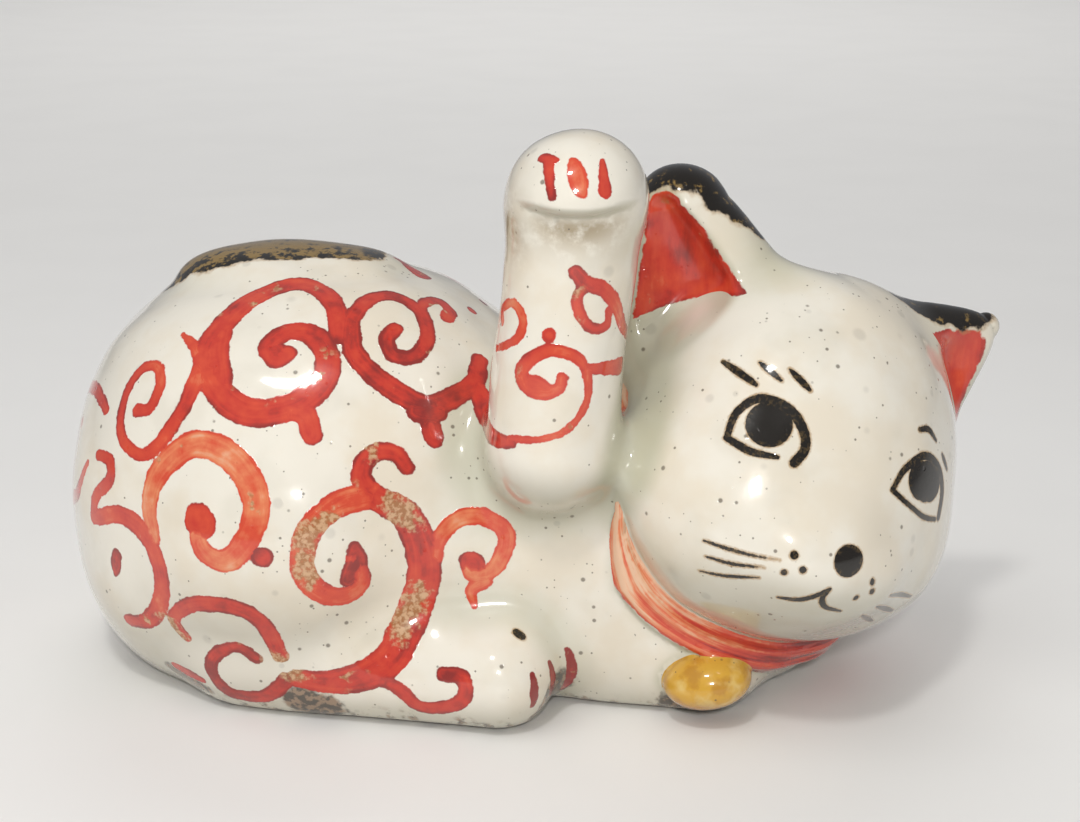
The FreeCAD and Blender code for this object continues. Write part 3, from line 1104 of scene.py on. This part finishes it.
class Shader:
    """Builds a node tree from short expressions; lengths are in millimetres."""

    def __init__(self, name):
        self.material = bpy.data.materials.new(name)
        self.material.use_nodes = True
        self.tree = self.material.node_tree
        self.tree.nodes.clear()
        self.place = self.node("ShaderNodeTexCoord").outputs["Object"]

    def node(self, kind, inputs=None, **settings):
        made = self.tree.nodes.new(kind)
        for key, value in settings.items():
            setattr(made, key, value)
        for key, value in (inputs or {}).items():
            self.feed(made.inputs[key], value)
        return made

    def feed(self, socket, value):
        if isinstance(value, bpy.types.NodeSocket):
            self.tree.links.new(value, socket)
        elif socket.type == "RGBA":
            socket.default_value = (*value, 1)
        else:
            socket.default_value = value

    def math(self, operation, *values):
        return self.node("ShaderNodeMath", dict(enumerate(values)), operation=operation).outputs[0]

    def attribute(self, name):
        return self.node("ShaderNodeAttribute", attribute_name=name).outputs["Fac"]

    def rise(self, value, low, high):
        """Eased step from 0 at low to 1 at high; it falls when low is the larger."""
        inputs = {"Value": value, "From Min": low, "From Max": high}
        return self.node("ShaderNodeMapRange", inputs, interpolation_type="SMOOTHSTEP").outputs[0]

    def noise(self, size, detail=2.0, rough=0.5, place=None):
        scale = MM / size if place is None else 1 / size
        inputs = {"Vector": place or self.place, "Scale": scale, "Detail": detail, "Roughness": rough}
        return self.node("ShaderNodeTexNoise", inputs).outputs["Fac"]

    def around(self, size, amount, detail=2.0, place=None):
        """Noise about zero, of about that amount."""
        return self.product(self.math("SUBTRACT", self.noise(size, detail, 0.55, place), 0.5), amount)

    def rest(self, share):
        return self.math("SUBTRACT", 1.0, share)

    def height(self):
        """Millimetres above the floor."""
        return self.product(self.node("ShaderNodeSeparateXYZ", {0: self.place}).outputs[2], MM)

    def sum(self, *values):
        total = values[0]
        for value in values[1:]:
            total = self.math("ADD", total, value)
        return total

    def product(self, *values):
        total = values[0]
        for value in values[1:]:
            total = self.math("MULTIPLY", total, value)
        return total

    def mix(self, share, a, b):
        made = self.node("ShaderNodeMix", {0: share, 6: a, 7: b}, data_type="RGBA")
        return made.outputs[2]

    def ramp(self, value, stops):
        made = self.node("ShaderNodeValToRGB", {"Fac": value})
        elements = made.color_ramp.elements
        while len(elements) < len(stops):
            elements.new(0.5)
        for element, (position, colour) in zip(elements, stops):
            element.position = position
            element.color = (*colour, 1)
        return made.outputs["Color"]

    def specks(self, spacing, size, share, clusters):
        """Small dots, one at most in each cell of the given spacing."""
        cells = self.node("ShaderNodeTexVoronoi", {"Vector": self.place, "Scale": MM / spacing})
        lot = self.node("ShaderNodeSeparateColor", {"Color": cells.outputs["Color"]}).outputs
        chosen = self.math("LESS_THAN", lot[0], self.product(clusters, share))
        radius = self.product(self.sum(lot[1], 0.3), size / spacing)
        dot = self.rise(cells.outputs["Distance"], radius, self.product(radius, 0.45))
        return self.product(dot, chosen)


CREAM = (0.83, 0.785, 0.685)
WARM_CREAM = (0.79, 0.715, 0.585)
GREY_CREAM = (0.64, 0.60, 0.50)
POOLED_GLAZE_SHADE = (0.43, 0.435, 0.30)
SHADED_GLAZE = (0.33, 0.32, 0.23)
BROWN_PAW_SHADE = (0.36, 0.27, 0.15)
SPECK_BROWN = (0.085, 0.062, 0.038)
SOOT = (0.035, 0.022, 0.014)
BARE_CLAY = (0.45, 0.33, 0.22)
DEEP_CLAY = (0.27, 0.17, 0.10)
OCHRE = (0.66, 0.37, 0.045)
BURNT_OCHRE = (0.36, 0.13, 0.02)
PALE_OCHRE = (0.80, 0.62, 0.25)
WORN_RED = (0.34, 0.17, 0.055)
WORN_GLAZE = (0.62, 0.43, 0.24)
INK = (0.012, 0.009, 0.006)
THIN_INK = (0.10, 0.065, 0.025)
INK_HALO = (0.40, 0.23, 0.075)
GOLD_MOTTLE = (0.26, 0.165, 0.05)
RED_LOADS = [
    (0.0, (0.80, 0.50, 0.32)),
    (0.26, (0.76, 0.22, 0.090)),
    (0.50, (0.67, 0.062, 0.020)),
    (0.78, (0.56, 0.025, 0.011)),
    (1.0, (0.26, 0.009, 0.007)),
]


def red_layer(s):
    """The red brushwork: how much covers the glaze, and its colour."""
    ink, tone, run = s.attribute("red_ink"), s.attribute("red_tone"), s.attribute("red_run")
    lane = s.attribute("red_lane")
    ragged = s.sum(ink, s.around(2.2, 1.1), s.around(0.5, 0.22))
    cover = s.rise(ragged, -0.14, 0.12)
    edge = s.rise(ragged, 0.85, 0.05)
    along = s.node("ShaderNodeCombineXYZ", {0: s.math("MULTIPLY", run, 0.06), 1: lane}).outputs[0]
    dry = s.attribute("dry_brush")
    wet = s.rest(s.product(dry, 0.65))
    streaks = s.product(s.around(0.9, 1.0, 4.0, along), s.sum(0.5, s.product(dry, 1.3)))
    uneven = s.product(wet, s.sum(s.around(7.5, 0.9), s.around(2.2, 0.4)))
    load = s.sum(tone, uneven, streaks, s.product(edge, 0.2))
    colour = s.ramp(load, RED_LOADS)
    rubbed = s.sum(s.attribute("gilt"), s.around(1.8, 8.0, 5.0))
    scattered = s.product(s.rise(s.noise(3.4, 3.0), 0.60, 0.68), s.rise(s.noise(13.0), 0.54, 0.64))
    worn = s.product(s.math("MAXIMUM", s.rise(rubbed, -0.4, 1.6), scattered), 0.85)
    rubbed_through = s.mix(s.rise(s.noise(0.9, 3.0), 0.40, 0.62), WORN_RED, WORN_GLAZE)
    return cover, s.mix(worn, colour, rubbed_through)


def cream(s):
    """The milky ground glaze, its pools, dirt and the places where it has gone, with painted shade in the
    hollows, on surfaces facing down and below the raised paw's pad.
    """
    tone = s.rise(s.sum(s.noise(22.0), s.around(5.0, 0.35)), 0.38, 0.68)
    colour = s.mix(tone, CREAM, WARM_CREAM)
    foot = s.rise(s.sum(s.height(), s.around(6.0, 14.0, 4.0)), 5.5, 1.0)
    soot = s.product(foot, s.rise(s.noise(2.5, 4.0), 0.47, 0.62), 0.85)
    # Painted shade in creases and hollows, tinted greenish as pooled glaze.
    pool_shade = s.rise(s.attribute("crevice"), 0.06, 0.52)
    colour = s.mix(s.product(pool_shade, 0.62), colour, POOLED_GLAZE_SHADE)
    # Painted shade on surfaces that face down.
    colour = s.mix(s.product(s.rise(s.attribute("under"), 0.0, 1.0), 0.6), colour, SHADED_GLAZE)
    # Painted brown shade below the raised paw's pad and down the arm's outer side.
    paw_shade = s.product(s.attribute("paw_shade"), s.rise(s.noise(3.0, 4.0, 0.6), 0.24, 0.58), 0.9)
    colour = s.mix(paw_shade, colour, BROWN_PAW_SHADE)
    grime = s.product(s.rise(s.noise(14.0, 3.0), 0.52, 0.72), 0.30)
    colour = s.mix(grime, colour, GREY_CREAM)
    worn = s.rise(s.sum(s.attribute("wear"), s.around(3.0, 5.0, 4.0)), -0.6, 1.0)
    soot = s.math("MAXIMUM", soot, s.product(worn, 0.9))
    return s.mix(soot, colour, s.mix(s.rise(s.noise(1.6, 3.0), 0.45, 0.6), SOOT, DEEP_CLAY))


def ochre(s):
    # Darker towards the bottom of the bell.
    low = s.rise(s.sum(s.height(), s.around(3.0, 5.0)), 9.0, 3.5)
    colour = s.mix(s.product(s.rise(s.noise(3.2, 4.0), 0.45, 0.68), 0.45), OCHRE, BURNT_OCHRE)
    colour = s.mix(s.product(s.rise(s.noise(5.0, 3.0), 0.52, 0.70), 0.6), colour, PALE_OCHRE)
    return s.mix(s.product(low, 0.8), colour, BURNT_OCHRE)


def bare(s):
    """Unglazed clay, on the underside and inside."""
    return s.mix(s.rise(s.noise(3.0, 5.0, 0.6), 0.4, 0.65), BARE_CLAY, DEEP_CLAY)


def dark_layer(s, colour):
    """Thin dark lines, browner where the ink is thin, with a brown bleed of ink round them."""
    dark = s.attribute("dark_ink")
    halo = s.product(s.rise(s.sum(dark, s.around(0.8, 0.6)), -0.50, 0.05), 0.75)
    colour = s.mix(halo, colour, INK_HALO)
    brushed = s.sum(dark, s.around(0.7, 0.35), s.around(0.3, 0.2))
    thin = s.product(s.rise(s.noise(0.8, 3.0), 0.50, 0.64), s.rise(dark, 1.1, 0.3), 0.7)
    return s.mix(s.rise(brushed, -0.08, 0.06), colour, s.mix(thin, INK, THIN_INK))


def black_layer(s, colour):
    """The black patches, with what is left of their gilding."""
    depth = s.attribute("black_ink")
    black = s.sum(depth, s.around(5.0, 4.5, 3.0), s.around(1.2, 1.0))
    gilded = s.product(s.attribute("black_gold"), s.sum(0.08, s.product(depth, 0.02)))
    mottle = s.rise(s.sum(s.noise(2.6, 4.0, 0.62), gilded), 0.58, 0.70)
    colour = s.mix(s.product(s.rise(black, -0.9, 0.0), 0.5), colour, INK_HALO)
    return s.mix(s.rise(black, -0.25, 0.3), colour, s.mix(mottle, INK, GOLD_MOTTLE))


def glaze(name, ground, painted=True):
    s = Shader(name)
    colour = ground(s)
    clusters = s.rise(s.noise(26.0), 0.44, 0.66)
    coarse = s.specks(2.6, 0.50, 0.42, s.sum(clusters, 0.30))
    pin = s.math("MAXIMUM", coarse, s.specks(1.3, 0.26, 0.30, s.sum(clusters, 0.22)))
    smoky = s.specks(5.0, 1.5, 0.34, s.sum(clusters, 0.12))
    colour = s.mix(s.product(smoky, 0.15), colour, SOOT)
    colour = s.mix(s.product(pin, 0.72), colour, SPECK_BROWN)
    relief = s.sum(s.around(11.0, 0.10), s.around(0.9, 0.010), s.product(pin, -0.05))
    if painted:
        cover, red = red_layer(s)
        colour = s.mix(s.product(cover, 0.97), colour, red)
        colour = black_layer(s, dark_layer(s, colour))
        relief = s.sum(relief, s.product(cover, 0.05))
    raw = s.math("MAXIMUM", s.rest(s.attribute("outside")), s.rise(s.height(), 0.5, 0.1))
    bump = s.node("ShaderNodeBump", {"Height": relief, "Distance": 1 / MM, "Strength": 1.0}).outputs[0]
    inputs = {
        "Base Color": s.mix(raw, colour, bare(s)),
        "Roughness": s.sum(0.22, s.product(raw, 0.6), s.around(4.0, 0.12)),
        "IOR": 1.5,
        "Specular IOR Level": 0.2,
        "Coat Weight": s.rest(raw),
        "Coat Roughness": 0.045,
        "Coat IOR": 1.5,
        "Normal": bump,
        "Coat Normal": bump,
    }
    shader = s.node("ShaderNodeBsdfPrincipled", inputs)
    s.node("ShaderNodeOutputMaterial", {"Surface": shader.outputs[0]})
    return s.material


# ---------------- the figure, its floor and light

GLAZES = {
    "glazed_body": glaze("cream_glaze", cream),
    "black_glaze": glaze("black_patch_glaze", cream),
    "red_glaze": glaze("red_collar_glaze", cream),
    "ochre_glaze": glaze("ochre_bell_glaze", ochre, painted=False),
    "bare_clay": glaze("foot_glaze", cream),
}

for node, patch in patches().items():
    make_piece(node, patch, GLAZES[SLOTS[node]])


FLOOR_COLOUR = (0.86, 0.85, 0.83)
FLOOR_HALF = 3.0
LAMP_COLOUR = (1.0, 0.988, 0.965)
SKY_COLOUR = (0.93, 0.95, 1.0, 1)
SKY_STRENGTH = 0.25


def paper(name, colour):
    s = Shader(name)
    tint = s.mix(s.rise(s.noise(60.0, 3.0), 0.35, 0.7), colour, tuple(c * 0.985 for c in colour))
    shader = s.node("ShaderNodeBsdfPrincipled", {"Base Color": tint, "Roughness": 0.6})
    s.node("ShaderNodeOutputMaterial", {"Surface": shader.outputs[0]})
    return s.material


def add_floor():
    mesh = bpy.data.meshes.new("floor")
    corners = [(x * FLOOR_HALF, y * FLOOR_HALF, 0) for x, y in ((-1, -1), (1, -1), (1, 1), (-1, 1))]
    mesh.from_pydata(corners, [], [(0, 1, 2, 3)])
    mesh.materials.append(paper("floor_paper", FLOOR_COLOUR))
    placed("floor", mesh)


def aim(thing, where, target):
    thing.location = where
    thing.rotation_euler = (Vector(target) - Vector(where)).to_track_quat("-Z", "Y").to_euler()


def add_light(name, where, size, power, gleams, target):
    """A round soft light; only those that gleam are mirrored in the glaze."""
    light = bpy.data.lights.new(name, "AREA")
    light.shape = "DISK"
    light.size = size
    light.energy = power
    light.color = LAMP_COLOUR
    lamp = placed(name, light)
    lamp.visible_glossy = gleams
    aim(lamp, where, target)


MIDDLE = ((BODY + (102.5, 54, 52)) / MM).tolist()
VIEW_DISTANCE = 0.400
VIEW_HEIGHT = np.radians(18)

add_floor()
add_light("lamp", (0.02, -0.62, 0.37), 0.07, 1.5, True, MIDDLE)
add_light("upper_lamp", (-0.12, -0.45, 0.80), 0.10, 1.5, True, MIDDLE)
add_light("window", (-0.45, -0.40, 0.95), 1.1, 4.0, False, MIDDLE)
add_light("fill", (0.9, -0.5, 0.7), 0.9, 0.8, False, MIDDLE)
add_light("floor_light", (0.0, 1.5, 1.3), 1.8, 16.0, False, (0.0, 1.7, 0.0))

world = bpy.data.worlds.new("studio")
world.use_nodes = True
sky = world.node_tree.nodes["Background"].inputs
sky["Color"].default_value = SKY_COLOUR
sky["Strength"].default_value = SKY_STRENGTH
bpy.context.scene.world = world
bpy.context.scene.view_settings.view_transform = "Standard"

camera = bpy.data.cameras.new("camera")
camera.lens = 60
camera.sensor_width = 36
camera.clip_start = 0.01
camera_object = placed("camera", camera)
bpy.context.scene.camera = camera_object
eye = np.array(MIDDLE) + VIEW_DISTANCE * np.array([0, -np.cos(VIEW_HEIGHT), np.sin(VIEW_HEIGHT)])
aim(camera_object, eye.tolist(), MIDDLE)
